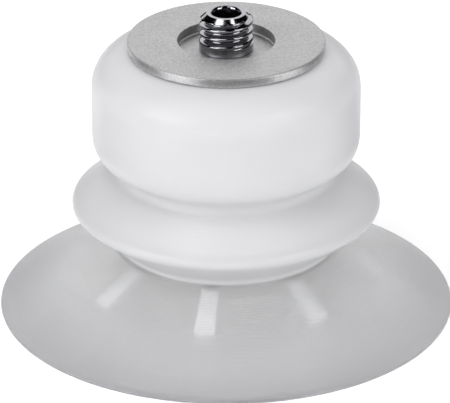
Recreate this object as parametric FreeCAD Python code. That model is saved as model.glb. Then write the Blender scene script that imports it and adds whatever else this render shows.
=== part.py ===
"""Bellows vacuum suction cup with a hollow M6 stud.

The cup is a body of revolution about Z. Z = 0 is the plane of the sealing lip and +Z points up the stud.
The silicone moulding is one outline turned about Z, then divided into rigid rings and the walls that bend
between them. All lengths are in millimetres.
"""
import FreeCAD
import Part
import math
import os

os.makedirs("parts", exist_ok=True)

# Lip: a thin cone with a narrow flat sealing land
LIP_R = 25.5
LIP_EDGE_H = 0.25
SEAL_INNER_R = 24.3
CONE_SLOPE = 0.561          # rise per millimetre towards the axis, outside
CONE_INNER_TOP = (12.6, 6.2)

# Bellows fold: two cones that meet at a rounded rim, with a rounded groove above and below
RIM_R = 17.24
RIM_Z = 12.46
FOLD_SLOPE = 0.77           # rise per millimetre of both cones, and of the head's underside
RIM_TOP = (16.85, 13.15)    # where the rim's rounding meets the upper cone
RIM_UNDER = (16.85, 11.8)   # where it meets the lower cone
FOLD_WALL = 1.5             # wall thickness measured upright
FOLD_TIP_R = 15.3           # how far the space inside the fold reaches
GROOVE_TANGENT = 1.05       # distance from a groove's sharp corner to where its rounding starts

# Bore through the two necks
BORE_WALL_R = 10.2
LOWER_BORE_BOTTOM_Z = 7.0

# Head: a thick-walled hollow drum with rounded shoulders
HEAD_R = 14.92
HEAD_TOP_Z = 30.87
SHOULDER_R = 9.78
SHOULDER_Z = 26.48
BULGE_Z = 20.94
BULGE_ROUND = (1.59, 2.63)
BULGE_ARC_DEG = -65.0
CAVITY_R = 11.3
CAVITY_BOTTOM_Z = 20.6
TOP_WALL_Z = 27.9

# Where the moulding is divided
HEAD_CUT_Z = 18.4
UPPER_RING_Z = (16.4, 17.2)
FOLD_CUT_Z = 12.5
RIM_CUT_R = 15.4
LOWER_RING_Z = (9.3, 10.0)
SKIRT_CUT_Z = 7.9
SKIRT_CUT_R = 17.6
LIP_CUT_R = 22.5

# Radial ribs inside the lip
RIB_COUNT = 8
FIRST_RIB_DEG = -98.0
RIB_INNER_R = 11.4
RIB_OUTER_R = 17.1
RIB_BOTTOM_Z = 2.6
RIB_INNER_WIDTH = 1.9
RIB_OUTER_WIDTH = 2.4
RIB_ROOT = 0.3              # how far a rib is sunk in the cone before it is trimmed to it

# Hollow stud
THREAD_R = 3.0
SHANK_R = 2.6
BORE_R = 1.55
STUD_TOP_Z = 35.2
THREAD_TOP_Z = 34.48
STUD_TIP_R = 2.2
BORE_CHAMFER = 0.35
FLANGE_R = 6.0
FLANGE_BOTTOM_Z = 24.2
FLANGE_CHAMFER = 0.4

# Metal stack on the stud
PLATE_R = 11.0
PLATE_THICK = 1.5
PLATE_CHAMFER = 0.3
BUSH_R = 5.3
BUSH_TOP_Z = 30.82
BUSH_CHAMFER = 0.2
WASHER_R = 10.95
WASHER_HOLE_R = 5.4
WASHER_THICK = 1.0
WASHER_CHAMFER = 0.12

# Seal ring in a groove of the flange
SEAL_R = 4.4
SEAL_SECTION_R = 0.59
GROOVE_DEPTH = 1.2

PLATE_Z = TOP_WALL_Z - PLATE_THICK
WASHER_TOP_Z = HEAD_TOP_Z + WASHER_THICK
ROUND = math.sqrt(0.5)      # corner weight of a quarter round


def at(point):
    """A point of an outline, given as (radius, height)."""
    return FreeCAD.Vector(point[0], 0.0, point[1])


def conic(start, corner, end, weight):
    """A rounded edge from start to end that is tangent to both sides of the corner."""
    curve = Part.BezierCurve()
    curve.setPoles([at(start), at(corner), at(end)])
    curve.setWeight(2, weight)
    return curve.toShape()


def ellipse_point(centre, radii, degrees):
    turn = math.radians(degrees)
    return (centre[0] + radii[0] * math.cos(turn), centre[1] + radii[1] * math.sin(turn))


def ellipse_arc(centre, radii, start_deg, end_deg):
    """The corner, end and weight of an arc of an upright ellipse, for outline()."""
    half = math.radians(end_deg - start_deg) / 2
    reach = 1 / math.cos(half)
    middle = (start_deg + end_deg) / 2
    corner = ellipse_point(centre, (radii[0] * reach, radii[1] * reach), middle)
    return corner, ellipse_point(centre, radii, end_deg), math.cos(half)


def outline(start, steps):
    """A closed outline. A step is a point for a straight edge, or (corner, end, weight) for a round one."""
    edges = []
    here = start
    for step in steps:
        if isinstance(step[0], tuple):
            corner, end, weight = step
            edges.append(conic(here, corner, end, weight))
        else:
            end = step
            edges.append(Part.LineSegment(at(here), at(end)).toShape())
        here = end
    edges.append(Part.LineSegment(at(here), at(start)).toShape())
    return Part.Face(Part.Wire(edges))


def turned(start, steps):
    """The outline turned about the cup's axis."""
    return outline(start, steps).revolve(FreeCAD.Vector(0, 0, 0), FreeCAD.Vector(0, 0, 1), 360)


def tube(inner_r, outer_r, bottom_z, top_z):
    """A plain tube, or a disc where inner_r is 0."""
    height = top_z - bottom_z
    base = FreeCAD.Vector(0, 0, bottom_z)
    solid = Part.makeCylinder(outer_r, height, base)
    if inner_r > 0:
        solid = solid.cut(Part.makeCylinder(inner_r, height, base))
    return solid


def turned_ring(inner_r, outer_r, bottom_z, top_z, top_chamfer, bottom_chamfer=0.0):
    """A machined ring with its outer edges broken."""
    steps = [(outer_r - bottom_chamfer, bottom_z)]
    if bottom_chamfer > 0:
        steps.append((outer_r, bottom_z + bottom_chamfer))
    steps += [(outer_r, top_z - top_chamfer), (outer_r - top_chamfer, top_z), (inner_r, top_z)]
    return turned((inner_r, bottom_z), steps)


def crossing(first, first_slope, second, second_slope):
    """Where two sloping lines meet, each given by a point and its rise per millimetre of radius."""
    gap = second[1] - second_slope * second[0] - first[1] + first_slope * first[0]
    radius = gap / (first_slope - second_slope)
    return (radius, first[1] + first_slope * (radius - first[0]))


def groove(corner, slope_in, slope_out):
    """Start of a groove's rounding, and the rounding itself, between two cones that meet at its corner."""
    def out_along(slope):
        length = math.hypot(1, slope)
        return (corner[0] + GROOVE_TANGENT / length, corner[1] + GROOVE_TANGENT * slope / length)

    half_turn = (math.pi - math.atan(abs(slope_in)) - math.atan(slope_out)) / 2
    return out_along(slope_in), (corner, out_along(slope_out), math.cos(half_turn))


def silicone_moulding():
    """The whole flexible cup as one solid."""
    bulge_centre = (HEAD_R - BULGE_ROUND[0], BULGE_Z)
    bulge_end = ellipse_point(bulge_centre, BULGE_ROUND, BULGE_ARC_DEG)
    lower_corner = crossing((LIP_R, LIP_EDGE_H), -CONE_SLOPE, RIM_UNDER, FOLD_SLOPE)
    upper_corner = crossing(RIM_TOP, -FOLD_SLOPE, bulge_end, FOLD_SLOPE)
    lower_start, lower_groove = groove(lower_corner, -CONE_SLOPE, FOLD_SLOPE)
    upper_start, upper_groove = groove(upper_corner, -FOLD_SLOPE, FOLD_SLOPE)
    outside = [
        (LIP_R, 0.0),
        (LIP_R, LIP_EDGE_H),
        lower_start,
        lower_groove,
        RIM_UNDER,
        ((RIM_R, RIM_UNDER[1] + 0.3), (RIM_R, RIM_Z), ROUND),
        ((RIM_R, RIM_TOP[1] - 0.3), RIM_TOP, ROUND),
        upper_start,
        upper_groove,
        bulge_end,
        ellipse_arc(bulge_centre, BULGE_ROUND, BULGE_ARC_DEG, 0),
        (HEAD_R, SHOULDER_Z),
        ellipse_arc((SHOULDER_R, SHOULDER_Z), (HEAD_R - SHOULDER_R, HEAD_TOP_Z - SHOULDER_Z), 0, 90),
        (BUSH_R, HEAD_TOP_Z),
    ]
    neck_r = BORE_WALL_R + 0.7
    inner_top = (neck_r, RIM_TOP[1] - FOLD_WALL + FOLD_SLOPE * (RIM_TOP[0] - neck_r))
    inner_under = (neck_r, RIM_UNDER[1] + FOLD_WALL - FOLD_SLOPE * (RIM_UNDER[0] - neck_r))
    tip_top_z = RIM_TOP[1] - FOLD_WALL + FOLD_SLOPE * (RIM_TOP[0] - FOLD_TIP_R)
    tip_under_z = RIM_UNDER[1] + FOLD_WALL - FOLD_SLOPE * (RIM_UNDER[0] - FOLD_TIP_R)
    inside = [
        (BUSH_R, TOP_WALL_Z),
        (CAVITY_R, TOP_WALL_Z),
        (CAVITY_R, CAVITY_BOTTOM_Z),
        (BORE_WALL_R, HEAD_CUT_Z + 0.2),
        (BORE_WALL_R, inner_top[1] + 0.9),
        inner_top,
        (FOLD_TIP_R, tip_top_z),
        (FOLD_TIP_R, tip_under_z),
        inner_under,
        (BORE_WALL_R, inner_under[1] - 0.9),
        (BORE_WALL_R, LOWER_BORE_BOTTOM_Z),
        CONE_INNER_TOP,
    ]
    return turned((SEAL_INNER_R, 0.0), outside + inside)


def zone(moulding, inner_r, outer_r, bottom_z, top_z):
    """The part of the moulding inside a tube-shaped region."""
    return moulding.common(tube(inner_r, outer_r, bottom_z, top_z)).Solids[0]


def silicone_zones(moulding):
    """The moulding's rigid rings and the walls that bend between them, from the top down."""
    far = LIP_R + 5
    return {
        "head_shell": zone(moulding, 0, far, HEAD_CUT_Z, HEAD_TOP_Z + 1),
        "head_neck_wall": zone(moulding, 0, far, UPPER_RING_Z[1], HEAD_CUT_Z),
        "upper_neck_ring": zone(moulding, 0, far, UPPER_RING_Z[0], UPPER_RING_Z[1]),
        "bellows_upper_wall": zone(moulding, 0, RIM_CUT_R, FOLD_CUT_Z, UPPER_RING_Z[0]),
        "bellows_rim_ring": zone(moulding, RIM_CUT_R, far, LOWER_RING_Z[1], UPPER_RING_Z[0]),
        "bellows_lower_wall": zone(moulding, 0, RIM_CUT_R, LOWER_RING_Z[1], FOLD_CUT_Z),
        "lower_neck_ring": zone(moulding, 0, far, LOWER_RING_Z[0], LOWER_RING_Z[1]),
        "lip_neck_wall": zone(moulding, 0, far, SKIRT_CUT_Z, LOWER_RING_Z[0]),
        "lip_cone": zone(moulding, 0, SKIRT_CUT_R, -1, SKIRT_CUT_Z),
        "lip_flex_wall": zone(moulding, SKIRT_CUT_R, LIP_CUT_R, -1, SKIRT_CUT_Z),
        "lip_edge_ring": zone(moulding, LIP_CUT_R, far, -1, SKIRT_CUT_Z),
    }


def rib(moulding, degrees):
    """One radial rib under the lip's cone, trimmed to the cone's inside."""
    slope = CONE_INNER_TOP[1] / (SEAL_INNER_R - CONE_INNER_TOP[0])
    inner_top_z = LOWER_BORE_BOTTOM_Z - 0.6 + RIB_ROOT
    outer_top_z = slope * (SEAL_INNER_R - RIB_OUTER_R) + RIB_ROOT
    corners = [
        (RIB_INNER_R, RIB_BOTTOM_Z, RIB_INNER_WIDTH),
        (RIB_OUTER_R, RIB_BOTTOM_Z, RIB_OUTER_WIDTH),
        (RIB_OUTER_R, outer_top_z, RIB_OUTER_WIDTH),
        (CONE_INNER_TOP[0], CONE_INNER_TOP[1] + RIB_ROOT, RIB_INNER_WIDTH),
        (RIB_INNER_R, inner_top_z, RIB_INNER_WIDTH),
    ]
    side = [FreeCAD.Vector(r, 0, z) for r, z, _ in corners]
    plate = Part.Face(Part.makePolygon(side + side[:1]))
    plate.translate(FreeCAD.Vector(0, -RIB_OUTER_WIDTH / 2, 0))
    block = plate.extrude(FreeCAD.Vector(0, RIB_OUTER_WIDTH, 0))
    half_in = RIB_INNER_WIDTH / 2
    half_out = RIB_OUTER_WIDTH / 2
    plan = [
        FreeCAD.Vector(RIB_INNER_R, -half_in, 0),
        FreeCAD.Vector(RIB_OUTER_R, -half_out, 0),
        FreeCAD.Vector(RIB_OUTER_R, half_out, 0),
        FreeCAD.Vector(RIB_INNER_R, half_in, 0),
    ]
    taper = Part.Face(Part.makePolygon(plan + plan[:1])).extrude(FreeCAD.Vector(0, 0, HEAD_TOP_Z))
    trimmed = block.common(taper).cut(moulding)
    solid = min(trimmed.Solids, key=lambda piece: piece.CenterOfMass.z)
    solid.rotate(FreeCAD.Vector(0, 0, 0), FreeCAD.Vector(0, 0, 1), degrees)
    return solid


def hollow_stud():
    """The threaded end at its major diameter, the thinner shank, and the flange with its seal groove."""
    groove_inner = SEAL_R - SEAL_SECTION_R
    groove_outer = SEAL_R + SEAL_SECTION_R
    groove_z = PLATE_Z - GROOVE_DEPTH
    return turned((BORE_R, FLANGE_BOTTOM_Z), [
        (FLANGE_R - FLANGE_CHAMFER, FLANGE_BOTTOM_Z),
        (FLANGE_R, FLANGE_BOTTOM_Z + FLANGE_CHAMFER),
        (FLANGE_R, PLATE_Z),
        (groove_outer, PLATE_Z),
        (groove_outer, groove_z),
        (groove_inner, groove_z),
        (groove_inner, PLATE_Z),
        (SHANK_R, PLATE_Z),
        (SHANK_R, BUSH_TOP_Z),
        (THREAD_R, BUSH_TOP_Z),
        (THREAD_R, THREAD_TOP_Z),
        (STUD_TIP_R, STUD_TOP_Z),
        (BORE_R + BORE_CHAMFER, STUD_TOP_Z),
        (BORE_R, STUD_TOP_Z - BORE_CHAMFER),
    ])


def seal_ring():
    centre = FreeCAD.Vector(0, 0, PLATE_Z - SEAL_SECTION_R - 0.01)
    return Part.makeTorus(SEAL_R, SEAL_SECTION_R, centre)


def metal_pieces():
    return {
        "support_washer": turned_ring(
            WASHER_HOLE_R, WASHER_R, HEAD_TOP_Z, WASHER_TOP_Z, WASHER_CHAMFER, WASHER_CHAMFER),
        "centring_bush": turned_ring(SHANK_R, BUSH_R, TOP_WALL_Z, BUSH_TOP_Z, BUSH_CHAMFER),
        "clamping_plate": turned_ring(
            SHANK_R, PLATE_R, PLATE_Z, TOP_WALL_Z, PLATE_CHAMFER, PLATE_CHAMFER),
        "hollow_stud": hollow_stud(),
    }


moulding = silicone_moulding()
nodes = silicone_zones(moulding)
for number in range(RIB_COUNT):
    nodes[f"lip_rib_{number + 1}"] = rib(moulding, FIRST_RIB_DEG + number * 360 / RIB_COUNT)
nodes.update(metal_pieces())
nodes["seal_ring"] = seal_ring()

for name, shape in nodes.items():
    shape.exportStep(f"parts/{name}.step")
    print(name, "valid" if shape.isValid() else "INVALID", round(shape.Volume, 2), "mm3")
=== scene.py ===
"""Looks of the bellows suction cup: translucent silicone, plated washer and bright hollow stud."""
import math

import bmesh
import bpy
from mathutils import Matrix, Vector


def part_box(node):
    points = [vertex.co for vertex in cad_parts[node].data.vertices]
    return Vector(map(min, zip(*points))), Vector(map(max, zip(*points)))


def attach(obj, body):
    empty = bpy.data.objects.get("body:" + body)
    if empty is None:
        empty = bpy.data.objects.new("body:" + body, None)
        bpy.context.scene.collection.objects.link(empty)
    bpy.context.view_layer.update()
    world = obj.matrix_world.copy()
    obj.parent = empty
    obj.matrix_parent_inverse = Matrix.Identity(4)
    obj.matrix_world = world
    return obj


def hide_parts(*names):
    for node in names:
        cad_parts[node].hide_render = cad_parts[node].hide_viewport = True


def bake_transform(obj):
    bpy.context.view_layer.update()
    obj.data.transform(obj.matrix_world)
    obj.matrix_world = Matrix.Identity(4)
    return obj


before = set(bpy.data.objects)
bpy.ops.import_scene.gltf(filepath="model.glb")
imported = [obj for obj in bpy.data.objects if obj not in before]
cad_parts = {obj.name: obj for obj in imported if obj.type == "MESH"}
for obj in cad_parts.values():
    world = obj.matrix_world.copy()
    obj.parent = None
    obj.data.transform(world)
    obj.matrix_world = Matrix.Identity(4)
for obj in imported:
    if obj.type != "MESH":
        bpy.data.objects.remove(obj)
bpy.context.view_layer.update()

MM = 0.001
AROUND = 256                # sides of a turned piece
ROUND = math.sqrt(0.5)      # corner weight of a quarter ellipse


# Measures of the frame, in millimetres

def reach(node):
    """Radius, lowest and highest point of a round CAD node."""
    low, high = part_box(node)
    return high.x / MM, low.z / MM, high.z / MM


HEAD_R, _, HEAD_TOP_Z = reach("head_shell")
RIM_R, _, _ = reach("bellows_rim_ring")
_, _, UPPER_RING_TOP_Z = reach("upper_neck_ring")
LIP_R, LIP_Z, _ = reach("lip_edge_ring")
_, _, LIP_ROOT_Z = reach("lip_cone")
WASHER_R, WASHER_LOW_Z, WASHER_TOP_Z = reach("support_washer")
BUSH_R, BUSH_LOW_Z, BUSH_TOP_Z = reach("centring_bush")
PLATE_R, PLATE_LOW_Z, PLATE_TOP_Z = reach("clamping_plate")
FLANGE_R, STUD_LOW_Z, STUD_TOP_Z = reach("hollow_stud")
SEAL_OUTER_R, SEAL_LOW_Z, SEAL_TOP_Z = reach("seal_ring")

BULGE = (13.33, 20.94)          # centre of the rounding under the head's side
BULGE_ROUND = (1.59, 2.63)
BULGE_END_DEG = -65             # where that rounding runs into the underside
SHOULDER = (9.78, 26.48)        # centre of the rounding over it
RIM_Z = 12.46
FOLD_SLOPE = 0.77               # rise per millimetre of the fold's cones and the head's underside
RIM_TOP = (16.85, 13.15)
RIM_UNDER = (16.85, 11.8)
FOLD_WALL = 1.5                 # measured upright
FOLD_TIP_R = 15.3
GROOVE_TANGENT = 1.05           # from a groove's corner to the start of its rounding
LIP_EDGE_H = 0.25
CONE_SLOPE = 0.561
CAVITY_R = 11.3
BORE_WALL_R = 10.2
HUB_UNDER = (12.6, 6.2)         # where the lip's inside turns into the bore
SEAL_INNER_R = 24.3             # inner edge of the face that seals
RIB_COUNT = 8
FIRST_RIB_DEG = -98
RIB_INNER_R, RIB_OUTER_R = 11.4, 17.1
RIB_INNER_HALF, RIB_OUTER_HALF = 0.95, 1.2      # half widths at the ends
RIB_INNER_ROOT_Z = 6.55
RIB_SUNK = 0.85                 # depth of a rib's root in the cone's wall
RIB_EDGE = 0.12
WASHER_HOLE_R = 5.4
HOLE_EDGE = 0.25                # rounding of the hole in the head's top
FIT_GAP = 0.01                  # keeps touching pieces from sharing a face
SEAL_MID_R = 4.4
SHANK_R = 2.6
THREAD_R = 3.0
STUD_TIP_R = 2.2
STUD_BORE_R = 1.55
THREAD_PITCH = 1.0
THREAD_DEPTH = 0.6134           # of a metric thread, in pitches
ROOT_TIGHTNESS = 1.3            # 1 makes root and crest alike
THREAD_RUN_OUT = 0.35           # height over which the thread fades into the collar
TIP_STEEPNESS = 1.1             # growth of the end chamfer's radius per millimetre down


# Outlines

def rounded(start, corner, end, weight=ROUND, steps=10):
    """Points after start along a rounded corner, up to and including end."""
    points = []
    for i in range(1, steps + 1):
        t = i / steps
        a, b, c = (1 - t) ** 2, 2 * t * (1 - t) * weight, t * t
        total = a + b + c
        points.append(tuple((a * start[k] + b * corner[k] + c * end[k]) / total for k in (0, 1)))
    return points


def divided(start, end, longest):
    """Points after start along a straight run, none further apart than longest."""
    count = max(1, math.ceil(math.dist(start, end) / longest))
    return [tuple(start[k] + (end[k] - start[k]) * i / count for k in (0, 1)) for i in range(1, count + 1)]


def outline(start, *steps, longest=0.6):
    """Points (radius, height) along straight runs and (corner, end) or (corner, end, weight) rounds."""
    points = [start]
    for step in steps:
        if isinstance(step[0], tuple):
            points += rounded(points[-1], *step)
        else:
            points += divided(points[-1], step, longest)
    return points


def ellipse_round(centre, radii, start_deg, end_deg):
    """The corner, end and weight of an arc of an upright ellipse, as a step for outline()."""
    half = math.radians(end_deg - start_deg) / 2
    middle = math.radians((start_deg + end_deg) / 2)
    last = math.radians(end_deg)
    stretch = 1 / math.cos(half)
    corner = (centre[0] + radii[0] * stretch * math.cos(middle), centre[1] + radii[1] * stretch * math.sin(middle))
    end = (centre[0] + radii[0] * math.cos(last), centre[1] + radii[1] * math.sin(last))
    return corner, end, math.cos(half)


def crossing(first, first_slope, second, second_slope):
    """Where two sloping lines meet, each given by a point and its rise per millimetre of radius."""
    gap = second[1] - second_slope * second[0] - first[1] + first_slope * first[0]
    radius = gap / (first_slope - second_slope)
    return (radius, first[1] + first_slope * (radius - first[0]))


def groove(corner, slope_in, slope_out):
    """Start of a groove's rounding, and the rounding itself, between two cones that meet at its corner."""
    def out_along(slope):
        length = math.hypot(1, slope)
        return (corner[0] + GROOVE_TANGENT / length, corner[1] + GROOVE_TANGENT * slope / length)

    half_turn = (math.pi - math.atan(abs(slope_in)) - math.atan(slope_out)) / 2
    return out_along(slope_in), (corner, out_along(slope_out), math.cos(half_turn))


def slice_of(points, low, high):
    """The stretch of an outline between two heights. Its heights only rise, or only fall."""
    def cut(a, b, z):
        share = (z - a[1]) / (b[1] - a[1])
        return (a[0] + (b[0] - a[0]) * share, z)

    kept = []
    for a, b in zip(points, points[1:]):
        if low <= a[1] <= high:
            kept.append(a)
        for z in sorted((low, high), reverse=a[1] > b[1]):
            if min(a[1], b[1]) < z < max(a[1], b[1]):
                kept.append(cut(a, b, z))
    if low <= points[-1][1] <= high:
        kept.append(points[-1])
    return kept


# Meshes

def finish_mesh(name, work, material, crease_deg=32):
    """Turns a bmesh in millimetres into a smooth-shaded piece in metres."""
    bmesh.ops.scale(work, vec=(MM, MM, MM), verts=work.verts)
    bmesh.ops.recalc_face_normals(work, faces=work.faces)
    mesh = bpy.data.meshes.new(name)
    work.to_mesh(mesh)
    work.free()
    mesh.shade_smooth()
    mesh.set_sharp_from_angle(angle=math.radians(crease_deg))
    mesh.materials.append(material)
    piece = bpy.data.objects.new(name, mesh)
    bpy.context.scene.collection.objects.link(piece)
    return piece


def spin(work, points, closed, around=AROUND):
    """Turns an outline about Z. The UV map holds the turn and the length along the outline in centimetres."""
    uv = work.loops.layers.uv.verify()
    rings = []
    for side in range(around):
        turn = 2 * math.pi * side / around
        c, s = math.cos(turn), math.sin(turn)
        rings.append([work.verts.new((r * c, r * s, z)) for r, z in points])
    count = len(points) if closed else len(points) - 1
    along = [0.0]
    for i in range(len(points)):
        along.append(along[-1] + math.dist(points[i], points[(i + 1) % len(points)]) / 10)
    for side in range(around):
        here, there = rings[side], rings[(side + 1) % around]
        for i in range(count):
            j = (i + 1) % len(points)
            face = work.faces.new((here[i], there[i], there[j], here[j]))
            corners = ((side, i), (side + 1, i), (side + 1, i + 1), (side, i + 1))
            for loop, (u, v) in zip(face.loops, corners):
                loop[uv].uv = (u / around, along[v])
    return rings


def turned(name, points, material, crease_deg=32):
    """A closed outline turned about the cup's axis."""
    work = bmesh.new()
    spin(work, points, closed=True)
    return finish_mesh(name, work, material, crease_deg)


# Materials

def linear(code):
    """Linear colour of an sRGB hex code."""
    levels = [int(code[i:i + 2], 16) / 255 for i in (1, 3, 5)]
    return [v / 12.92 if v <= 0.04045 else ((v + 0.055) / 1.055) ** 2.4 for v in levels] + [1.0]


def add(tree, kind, settings=None, **sockets):
    """Adds a node with its settings, and gives each named input a value or a link."""
    node = tree.nodes.new(kind)
    for key, value in (settings or {}).items():
        setattr(node, key, value)
    for key, value in sockets.items():
        socket = node.inputs[int(key[1:])] if key[1:].isdigit() else node.inputs[key.replace("_", " ")]
        if isinstance(value, bpy.types.NodeSocket):
            tree.links.new(value, socket)
        else:
            socket.default_value = value
    return node


def new_material(name):
    material = bpy.data.materials.new(name)
    material.use_nodes = True
    material.node_tree.nodes.clear()
    return material, material.node_tree


def ring_scale(pitch):
    """Scale of a Wave texture whose bands lie a pitch in millimetres apart, over a UV map in centimetres."""
    return math.pi / pitch


def moulded_silicone(name, light, dark, clear):
    """Platinum-cured silicone rubber in a thick wall: milky, soft-edged, with a satin mould finish.

    The mould's turning marks are about 0.1 mm apart, and its spark grain is finer still. Both are drawn
    a few times coarser, so that they show.
    """
    material, tree = new_material(name)
    coords = add(tree, "ShaderNodeTexCoord")
    place = coords.outputs["Object"]
    cloud = add(tree, "ShaderNodeTexNoise", Vector=place, Scale=1 / (6 * MM), Detail=2.0)
    grain = add(tree, "ShaderNodeTexNoise", Vector=place, Scale=1 / (0.25 * MM), Detail=3.0)
    rings = add(
        tree, "ShaderNodeTexWave", {"wave_type": "BANDS", "bands_direction": "Y"},
        Vector=coords.outputs["UV"], Scale=ring_scale(0.5), Distortion=1.5, Detail=2.0)
    tint = add(
        tree, "ShaderNodeMix", {"data_type": "RGBA"},
        _0=cloud.outputs["Fac"], _6=linear(light), _7=linear(dark))
    rough = add(tree, "ShaderNodeMapRange", Value=cloud.outputs["Fac"], To_Min=0.30, To_Max=0.42)
    turned_mould = add(tree, "ShaderNodeBump", Height=rings.outputs["Fac"], Strength=0.15, Distance=0.02 * MM)
    bump = add(
        tree, "ShaderNodeBump", Height=grain.outputs["Fac"], Strength=0.12, Distance=0.02 * MM,
        Normal=turned_mould.outputs[0])
    shader = add(
        tree, "ShaderNodeBsdfPrincipled", Base_Color=tint.outputs[2], Roughness=rough.outputs[0],
        Normal=bump.outputs[0], IOR=1.41, Transmission_Weight=clear)
    add(tree, "ShaderNodeOutputMaterial", Surface=shader.outputs[0])
    return material


def thin_lip_silicone():
    """The same silicone about a millimetre thick: what is behind it shows, blurred, and rings catch the light.

    The mould's turning marks are drawn 0.35 mm apart, coarser than real ones, so that they show. The wall is
    clearer at its thin edge than at its root, and its colour is painted greyer towards the edge as painted shade.
    """
    material, tree = new_material("thin_lip_silicone")
    coords = add(tree, "ShaderNodeTexCoord")
    cloud = add(tree, "ShaderNodeTexNoise", Vector=coords.outputs["Object"], Scale=1 / (7 * MM), Detail=2.0)
    height = add(tree, "ShaderNodeSeparateXYZ", Vector=coords.outputs["Object"])
    thick = add(tree, "ShaderNodeMapRange", Value=height.outputs["Z"], From_Max=LIP_ROOT_Z * MM)
    # painted shade: the wall's colour runs from grey at the thin edge to white at the root
    shade = add(
        tree, "ShaderNodeMix", {"data_type": "RGBA"},
        _0=thick.outputs[0], _6=linear("#C0C0C3"), _7=linear("#FFFFFF"))
    tint = add(
        tree, "ShaderNodeMix", {"data_type": "RGBA", "blend_type": "MULTIPLY"},
        _0=0.06, _6=shade.outputs[2], _7=cloud.outputs["Fac"])
    rough = add(tree, "ShaderNodeMapRange", Value=cloud.outputs["Fac"], To_Min=0.275, To_Max=0.335)
    clear = add(tree, "ShaderNodeMapRange", Value=thick.outputs[0], To_Min=0.80, To_Max=0.75)
    rings = add(
        tree, "ShaderNodeTexWave", {"wave_type": "BANDS", "bands_direction": "Y"},
        Vector=coords.outputs["UV"], Scale=ring_scale(0.35), Distortion=0.6, Detail=1.0)
    bump = add(tree, "ShaderNodeBump", Height=rings.outputs["Fac"], Strength=0.4, Distance=0.04 * MM)
    shader = add(
        tree, "ShaderNodeBsdfPrincipled", Base_Color=tint.outputs[2], Roughness=rough.outputs[0],
        Normal=bump.outputs[0], IOR=1.41, Transmission_Weight=clear.outputs[0], Alpha=0.75)
    add(tree, "ShaderNodeOutputMaterial", Surface=shader.outputs[0])
    return material


def zinc_plated_steel():
    """Punched steel, tumbled and zinc plated: mottled and matt on its faces, shinier on the sheared side."""
    material, tree = new_material("zinc_plated_steel")
    coords = add(tree, "ShaderNodeTexCoord")
    place = coords.outputs["Object"]
    grain = add(tree, "ShaderNodeTexNoise", Vector=place, Scale=1 / (0.3 * MM), Detail=3.0, Roughness=0.75)
    blotch = add(tree, "ShaderNodeTexNoise", Vector=place, Scale=1 / (2.5 * MM), Detail=2.0)
    mottle = add(tree, "ShaderNodeMapRange", Value=grain.outputs["Fac"], From_Min=0.3, From_Max=0.7)
    tint = add(
        tree, "ShaderNodeMix", {"data_type": "RGBA"},
        _0=mottle.outputs[0], _6=linear("#C6C6C7"), _7=linear("#E6E6E6"))
    facing = add(tree, "ShaderNodeSeparateXYZ", Vector=coords.outputs["Normal"])
    flat = add(tree, "ShaderNodeMath", {"operation": "ABSOLUTE"}, _0=facing.outputs["Z"])
    matt = add(tree, "ShaderNodeMapRange", Value=blotch.outputs["Fac"], To_Min=0.50, To_Max=0.62)
    rough = add(tree, "ShaderNodeMix", _0=flat.outputs[0], _2=0.36, _3=matt.outputs[0])
    bump = add(tree, "ShaderNodeBump", Height=grain.outputs["Fac"], Strength=0.4, Distance=0.04 * MM)
    shader = add(
        tree, "ShaderNodeBsdfPrincipled", Base_Color=tint.outputs[2], Roughness=rough.outputs[0],
        Normal=bump.outputs[0], Metallic=1.0)
    add(tree, "ShaderNodeOutputMaterial", Surface=shader.outputs[0])
    return material


def nickel_plated_steel():
    """Free-cutting steel, thread rolled and bright nickel plated: a hard, grey mirror."""
    material, tree = new_material("nickel_plated_steel")
    place = add(tree, "ShaderNodeTexCoord").outputs["Object"]
    grain = add(tree, "ShaderNodeTexNoise", Vector=place, Scale=1 / (0.3 * MM), Detail=3.0)
    rough = add(tree, "ShaderNodeMapRange", Value=grain.outputs["Fac"], To_Min=0.08, To_Max=0.16)
    bump = add(tree, "ShaderNodeBump", Height=grain.outputs["Fac"], Strength=0.08, Distance=0.01 * MM)
    shader = add(
        tree, "ShaderNodeBsdfPrincipled", Base_Color=linear("#ACACB0"), Roughness=rough.outputs[0],
        Normal=bump.outputs[0], Metallic=1.0)
    add(tree, "ShaderNodeOutputMaterial", Surface=shader.outputs[0])
    return material


def nitrile_rubber():
    """Black moulded O-ring rubber with a dull, slightly dusty skin."""
    material, tree = new_material("nitrile_rubber")
    place = add(tree, "ShaderNodeTexCoord").outputs["Object"]
    dust = add(tree, "ShaderNodeTexNoise", Vector=place, Scale=1 / (0.4 * MM), Detail=3.0)
    tint = add(
        tree, "ShaderNodeMix", {"data_type": "RGBA"},
        _0=dust.outputs["Fac"], _6=linear("#151515"), _7=linear("#2B2B2B"))
    shader = add(tree, "ShaderNodeBsdfPrincipled", Base_Color=tint.outputs[2], Roughness=0.6, IOR=1.52)
    add(tree, "ShaderNodeOutputMaterial", Surface=shader.outputs[0])
    return material


# Silicone pieces

NECK_SEAM_Z = UPPER_RING_TOP_Z      # in the groove under the head
LOWER_SEAM_Z = 9.7                  # on the fold's lower cone


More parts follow.
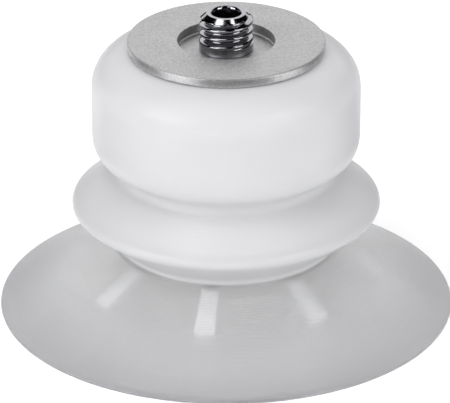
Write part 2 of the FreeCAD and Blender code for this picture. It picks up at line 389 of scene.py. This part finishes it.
def cup_outside():
    """The moulding's outside, from the sealing edge up to the hole in the head's top."""
    lip_edge = (LIP_R, LIP_Z + LIP_EDGE_H)
    bulge_end = ellipse_round(BULGE, BULGE_ROUND, 0, BULGE_END_DEG)[1]
    lower_corner = crossing(lip_edge, -CONE_SLOPE, RIM_UNDER, FOLD_SLOPE)
    lower_start, lower_groove = groove(lower_corner, -CONE_SLOPE, FOLD_SLOPE)
    upper_corner = crossing(RIM_TOP, -FOLD_SLOPE, bulge_end, FOLD_SLOPE)
    upper_start, upper_groove = groove(upper_corner, -FOLD_SLOPE, FOLD_SLOPE)
    return outline(
        (LIP_R - 0.08, LIP_Z), ((LIP_R, LIP_Z), (LIP_R, LIP_Z + 0.08), ROUND, 4),
        (lip_edge, (LIP_R - 0.15, lip_edge[1] + 0.15 * CONE_SLOPE), ROUND, 5),
        lower_start, lower_groove,
        RIM_UNDER,
        ((RIM_R, RIM_UNDER[1] + 0.3), (RIM_R, RIM_Z), ROUND),
        ((RIM_R, RIM_TOP[1] - 0.3), RIM_TOP, ROUND),
        upper_start, upper_groove,
        bulge_end,
        ellipse_round(BULGE, BULGE_ROUND, BULGE_END_DEG, 0),
        (HEAD_R, SHOULDER[1]),
        ellipse_round(SHOULDER, (HEAD_R - SHOULDER[0], HEAD_TOP_Z - SHOULDER[1]), 0, 90),
        (BUSH_R + HOLE_EDGE, HEAD_TOP_Z), longest=0.35)


def cup_inside():
    """The moulding's inside, from the hole in the head's top down to the sealing edge."""
    hole_r = BUSH_R + 2 * FIT_GAP
    ceiling_z = PLATE_TOP_Z + FIT_GAP
    neck_r = BORE_WALL_R + 0.7
    tip_z = (RIM_TOP[1] + RIM_UNDER[1]) / 2
    tip_half = FOLD_SLOPE * (RIM_TOP[0] - FOLD_TIP_R) - FOLD_WALL + (RIM_TOP[1] - RIM_UNDER[1]) / 2
    neck_half = tip_half + FOLD_SLOPE * (FOLD_TIP_R - neck_r)
    return outline(
        (BUSH_R + HOLE_EDGE, HEAD_TOP_Z),
        ((hole_r, HEAD_TOP_Z), (hole_r, HEAD_TOP_Z - (HOLE_EDGE - 2 * FIT_GAP))),
        (hole_r, ceiling_z), (CAVITY_R, ceiling_z), (CAVITY_R, 21.6),
        ((CAVITY_R, 20.6), (10.95, 19.9)), (10.5, 19.1),
        ((BORE_WALL_R, 18.6), (BORE_WALL_R, 18.0)), (BORE_WALL_R, tip_z + neck_half + 0.9),
        ((BORE_WALL_R, tip_z + neck_half + 0.3), (neck_r, tip_z + neck_half)),
        (FOLD_TIP_R - 0.4, tip_z + tip_half + 0.4 * FOLD_SLOPE),
        ((FOLD_TIP_R, tip_z + tip_half), (FOLD_TIP_R, tip_z)),
        ((FOLD_TIP_R, tip_z - tip_half), (FOLD_TIP_R - 0.4, tip_z - tip_half - 0.4 * FOLD_SLOPE)),
        (neck_r, tip_z - neck_half),
        ((BORE_WALL_R, tip_z - neck_half - 0.3), (BORE_WALL_R, tip_z - neck_half - 0.9)),
        (BORE_WALL_R, 7.3), ((BORE_WALL_R, 7.0), (10.6, 6.87)), (12.3, 6.3),
        (HUB_UNDER, (12.9, 6.04)), (SEAL_INNER_R, LIP_Z), longest=0.35)


def cup_slice(name, low, high, material):
    """One piece of the moulding, between two heights."""
    points = slice_of(cup_outside(), low, high) + slice_of(cup_inside(), low, high)
    tidy = [p for i, p in enumerate(points) if math.dist(p, points[i - 1]) > 0.002]
    return turned(name, tidy, material)


def lip_rib(number, material):
    """A radial rib that stops the lip from closing on the work, sunk a little into the cone's inside."""
    low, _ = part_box(f"lip_rib_{number}")
    bottom_z = low.z / MM
    slope = HUB_UNDER[1] / (SEAL_INNER_R - HUB_UNDER[0])
    side = [
        (RIB_INNER_R, bottom_z), (RIB_OUTER_R, bottom_z),
        (RIB_OUTER_R, slope * (SEAL_INNER_R - RIB_OUTER_R) + RIB_SUNK),
        (HUB_UNDER[0], HUB_UNDER[1] + RIB_SUNK), (RIB_INNER_R, RIB_INNER_ROOT_Z + RIB_SUNK)]
    turn = math.radians(FIRST_RIB_DEG + (number - 1) * 360 / RIB_COUNT)
    work = bmesh.new()
    walls = []
    for hand in (-1, 1):
        wall = []
        for r, z in side:
            share = (r - RIB_INNER_R) / (RIB_OUTER_R - RIB_INNER_R)
            half = hand * (RIB_INNER_HALF + (RIB_OUTER_HALF - RIB_INNER_HALF) * share)
            x = r * math.cos(turn) - half * math.sin(turn)
            y = r * math.sin(turn) + half * math.cos(turn)
            wall.append(work.verts.new((x, y, z)))
        walls.append(wall)
    work.faces.new(walls[0])
    work.faces.new(list(reversed(walls[1])))
    for i in range(len(side)):
        j = (i + 1) % len(side)
        work.faces.new((walls[0][i], walls[1][i], walls[1][j], walls[0][j]))
    bmesh.ops.bevel(work, geom=list(work.edges), offset=RIB_EDGE, segments=3, affect="EDGES", profile=0.5)
    return finish_mesh(f"rib_{number}", work, material)


# Metal pieces

def ring_outline(inner_r, outer_r, low_z, top_z, edge=0.15, inner_edge=0.08):
    """A flat ring whose edges are rounded, more outside than inside."""
    return outline(
        (inner_r, low_z + inner_edge), ((inner_r, low_z), (inner_r + inner_edge, low_z)),
        (outer_r - edge, low_z), ((outer_r, low_z), (outer_r, low_z + edge)),
        (outer_r, top_z - edge), ((outer_r, top_z), (outer_r - edge, top_z)),
        (inner_r + inner_edge, top_z), ((inner_r, top_z), (inner_r, top_z - inner_edge)), longest=2.0)


def thread_radius(phase):
    """Radius of a rolled M6 x 1 thread at a share of its pitch, with a full round crest and a tighter root."""
    depth = THREAD_DEPTH * THREAD_PITCH
    return THREAD_R - depth * (0.5 + 0.5 * math.cos(2 * math.pi * phase)) ** ROOT_TIGHTNESS


def hollow_stud(material):
    """Threaded end with its chamfer, plain collar, shank, flange with its seal groove, and the vacuum bore."""
    around = 128
    rows_per_turn = 24
    work = bmesh.new()
    thread_low = WASHER_TOP_Z - 0.1
    turns = math.ceil((STUD_TOP_Z - thread_low) / THREAD_PITCH) + 1
    columns = []
    for side in range(around + 1):
        share = side / around
        c, s = math.cos(2 * math.pi * share), math.sin(2 * math.pi * share)
        column = []
        for row in range(-rows_per_turn, turns * rows_per_turn + 1):
            z = thread_low + (row / rows_per_turn + share) * THREAD_PITCH
            z = min(max(z, thread_low), STUD_TOP_Z)
            radius = thread_radius((row / rows_per_turn) % 1.0)
            run_out = min(1.0, max(0.0, (z - thread_low) / THREAD_RUN_OUT))
            radius = THREAD_R - (THREAD_R - radius) * run_out
            radius = min(radius, STUD_TIP_R + (STUD_TOP_Z - z) * TIP_STEEPNESS)
            column.append((radius * c, radius * s, z))
        columns.append(column)
    grid = [[work.verts.new(p) for p in column] for column in columns]
    for here, there in zip(grid, grid[1:]):
        for row in range(len(here) - 1):
            work.faces.new((here[row], there[row], there[row + 1], here[row + 1]))
    groove_in, groove_out = 2 * SEAL_MID_R - SEAL_OUTER_R, SEAL_OUTER_R
    rest = outline(
        (STUD_TIP_R, STUD_TOP_Z), (STUD_BORE_R + 0.3, STUD_TOP_Z),
        ((STUD_BORE_R + 0.05, STUD_TOP_Z), (STUD_BORE_R, STUD_TOP_Z - 0.3)),
        (STUD_BORE_R, STUD_LOW_Z + 0.2), (STUD_BORE_R + 0.2, STUD_LOW_Z),
        (FLANGE_R - 0.4, STUD_LOW_Z), ((FLANGE_R, STUD_LOW_Z), (FLANGE_R, STUD_LOW_Z + 0.4)),
        (FLANGE_R, PLATE_LOW_Z), (groove_out, PLATE_LOW_Z), (groove_out, SEAL_LOW_Z),
        (groove_in, SEAL_LOW_Z), (groove_in, PLATE_LOW_Z), (SHANK_R, PLATE_LOW_Z),
        (SHANK_R, BUSH_TOP_Z + 0.01), (THREAD_R - 0.1, BUSH_TOP_Z + 0.01), (THREAD_R, BUSH_TOP_Z + 0.11),
        (THREAD_R, thread_low), longest=2.0)
    spin(work, rest, closed=False, around=around)
    bmesh.ops.remove_doubles(work, verts=work.verts, dist=0.004)
    bmesh.ops.dissolve_degenerate(work, edges=work.edges, dist=0.003)
    return finish_mesh("stud", work, material, crease_deg=28)


def seal_ring(material):
    """A squeezed O-ring."""
    steps = 24
    half_w = SEAL_OUTER_R - SEAL_MID_R - FIT_GAP
    half_h = (SEAL_TOP_Z - SEAL_LOW_Z) / 2 - FIT_GAP
    mid_z = (SEAL_TOP_Z + SEAL_LOW_Z) / 2
    points = []
    for i in range(steps):
        turn = 2 * math.pi * i / steps
        points.append((SEAL_MID_R + half_w * math.cos(turn), mid_z + half_h * math.sin(turn)))
    return turned("o_ring", points, material)


def build_silicone(thick, thin, painted_bright_ribs):
    """The moulding in five touching pieces, and its ribs."""
    head = cup_slice("cup_head", NECK_SEAM_Z, HEAD_TOP_Z, thick)
    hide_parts("head_shell", "head_neck_wall")
    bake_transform(head)

    upper = cup_slice("fold_upper_wall", RIM_Z, NECK_SEAM_Z, thick)
    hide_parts("upper_neck_ring", "bellows_upper_wall", "bellows_rim_ring")
    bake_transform(upper)

    lower = cup_slice("fold_lower_wall", LOWER_SEAM_Z, RIM_Z, thick)
    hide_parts("bellows_lower_wall", "lower_neck_ring")
    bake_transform(lower)

    neck = cup_slice("lip_neck", LIP_ROOT_Z, LOWER_SEAM_Z, thick)
    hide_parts("lip_neck_wall")
    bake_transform(neck)

    lip = cup_slice("lip_skirt", LIP_Z, LIP_ROOT_Z, thin)
    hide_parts("lip_cone", "lip_flex_wall", "lip_edge_ring")
    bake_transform(lip)

    # the ribs wear a copy of the silicone painted whiter, as painted light
    for number in range(1, RIB_COUNT + 1):
        rib = lip_rib(number, painted_bright_ribs)
        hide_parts(f"lip_rib_{number}")
        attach(rib, "lip_root")


def build_metal():
    """Washer, bush, plate, stud and O-ring, all on the head."""
    zinc = zinc_plated_steel()
    nickel = nickel_plated_steel()
    pieces = (
        (turned("washer", ring_outline(WASHER_HOLE_R, WASHER_R, WASHER_LOW_Z, WASHER_TOP_Z), zinc),
         "support_washer", "zinc_plated_steel"),
        (turned("bush", ring_outline(SHANK_R, BUSH_R, BUSH_LOW_Z, BUSH_TOP_Z), zinc),
         "centring_bush", "zinc_plated_steel"),
        (turned("plate", ring_outline(SHANK_R, PLATE_R, PLATE_LOW_Z, PLATE_TOP_Z, edge=0.3), zinc),
         "clamping_plate", "zinc_plated_steel"),
        (hollow_stud(nickel), "hollow_stud", "nickel_plated_steel"),
        (seal_ring(nitrile_rubber()), "seal_ring", "nitrile_rubber"),
    )
    for piece, node, slot in pieces:
        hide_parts(node)
        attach(piece, "head")


# Studio

CUP_MIDDLE = (0, 0, 0.018)      # in metres, like the places and sizes of the lights
TABLE_HALF = 1500               # in millimetres, like the cards
TABLE_GAP = 0.02                # keeps the table's face off the lip's
CARD_INNER_R, CARD_OUTER_R, CARD_Z = 45, 150, 1.0


def area_light(name, place, size, power, mirrored=True, lit=True):
    """A soft box facing the cup. It can be seen in mirrors, light what is dull, or do both."""
    data = bpy.data.lights.new(name, "AREA")
    data.shape = "RECTANGLE"
    data.size, data.size_y = size
    data.energy = power
    light = bpy.data.objects.new(name, data)
    light.location = place
    aim = light.location - Vector(CUP_MIDDLE)
    light.rotation_euler = aim.to_track_quat("Z", "Y").to_euler()
    light.visible_glossy = mirrored
    light.visible_diffuse = lit
    bpy.context.scene.collection.objects.link(light)


def studio():
    """A pale table, soft boxes and strips, and a bright room around them that metal doesn't mirror."""
    work = bmesh.new()
    bmesh.ops.create_grid(work, x_segments=1, y_segments=1, size=TABLE_HALF)
    paint, tree = new_material("pale_table")
    shader = add(
        tree, "ShaderNodeBsdfPrincipled", Base_Color=linear("#FAFAFA"), Roughness=0.9,
        Emission_Color=linear("#FFFFFF"), Emission_Strength=0.22)
    add(tree, "ShaderNodeOutputMaterial", Surface=shader.outputs[0])
    table = finish_mesh("table", work, paint)
    table.location.z = -TABLE_GAP * MM

    world = bpy.data.worlds.new("room")
    bpy.context.scene.world = world
    world.use_nodes = True
    world.cycles_visibility.glossy = False
    sky = world.node_tree.nodes["Background"]
    sky.inputs["Color"].default_value = linear("#ECECEE")
    sky.inputs["Strength"].default_value = 0.46
    area_light("soft_box_left", (-0.40, -0.28, 0.28), (0.32, 0.30), 1.2)
    area_light("soft_box_right", (0.40, -0.28, 0.28), (0.30, 0.30), 0.82)
    area_light("strip_left", (-0.15, -0.135, 0.47), (0.28, 0.11), 0.26)
    area_light("strip_right", (0.17, -0.11, 0.47), (0.08, 0.08), 0.06)
    area_light("back_panel", (0.0, 0.42, 0.30), (0.80, 0.42), 1.2, lit=False)
    # these light the table and the rubber, and aren't mirrored in the metal
    area_light("top_fill", (0.0, 0.05, 0.55), (0.50, 0.50), 0.88, mirrored=False)
    area_light("front_fill", (-0.06, -0.52, 0.30), (0.50, 0.35), 0.03, mirrored=False)
    area_light("low_fill", (-0.03, -0.56, 0.07), (0.50, 0.12), 0.5, mirrored=False)

    card_paint, tree = new_material("black_card")
    shader = add(tree, "ShaderNodeBsdfPrincipled", Base_Color=linear("#1C1C1C"), Roughness=0.9)
    add(tree, "ShaderNodeOutputMaterial", Surface=shader.outputs[0])
    for name, first, last in (("card_front", -122, -38), ("card_left", 150, 198), ("card_right", -2, 46)):
        card = floor_card(name, first, last, card_paint)
        for ray in ("camera", "diffuse", "transmission", "volume_scatter", "shadow"):
            setattr(card, f"visible_{ray}", False)


def floor_card(name, first_deg, last_deg, material):
    """A black card lying round the cup, seen only as the dark bands in bright metal."""
    work = bmesh.new()
    rows = []
    steps = 12
    for step in range(steps + 1):
        turn = math.radians(first_deg + (last_deg - first_deg) * step / steps)
        c, s = math.cos(turn), math.sin(turn)
        rows.append([work.verts.new((r * c, r * s, CARD_Z)) for r in (CARD_INNER_R, CARD_OUTER_R)])
    for here, there in zip(rows, rows[1:]):
        work.faces.new((here[0], here[1], there[1], there[0]))
    return finish_mesh(name, work, material)


def camera():
    """A long lens a little above the cup, on its -Y side."""
    data = bpy.data.cameras.new("camera")
    data.sensor_width = 36.0
    data.lens = 341.7
    data.clip_start = 0.01
    view = bpy.data.objects.new("camera", data)
    view.location = (0.0, -0.4324, 0.2187)
    view.rotation_euler = (math.radians(64.463), 0.0, math.radians(0.0174))
    bpy.context.scene.collection.objects.link(view)
    bpy.context.scene.camera = view


bpy.context.scene.view_settings.view_transform = "Standard"
camera()
studio()
# the ribs' copy of the silicone is painted whiter and opaque: painted light standing in for the light their
# thicker silicone scatters
build_silicone(
    moulded_silicone("moulded_silicone", "#E8E8EA", "#E2E2E4", 0.25), thin_lip_silicone(),
    moulded_silicone("rib_silicone_painted_brighter", "#FFFFFF", "#FCFCFD", 0.0))
build_metal()
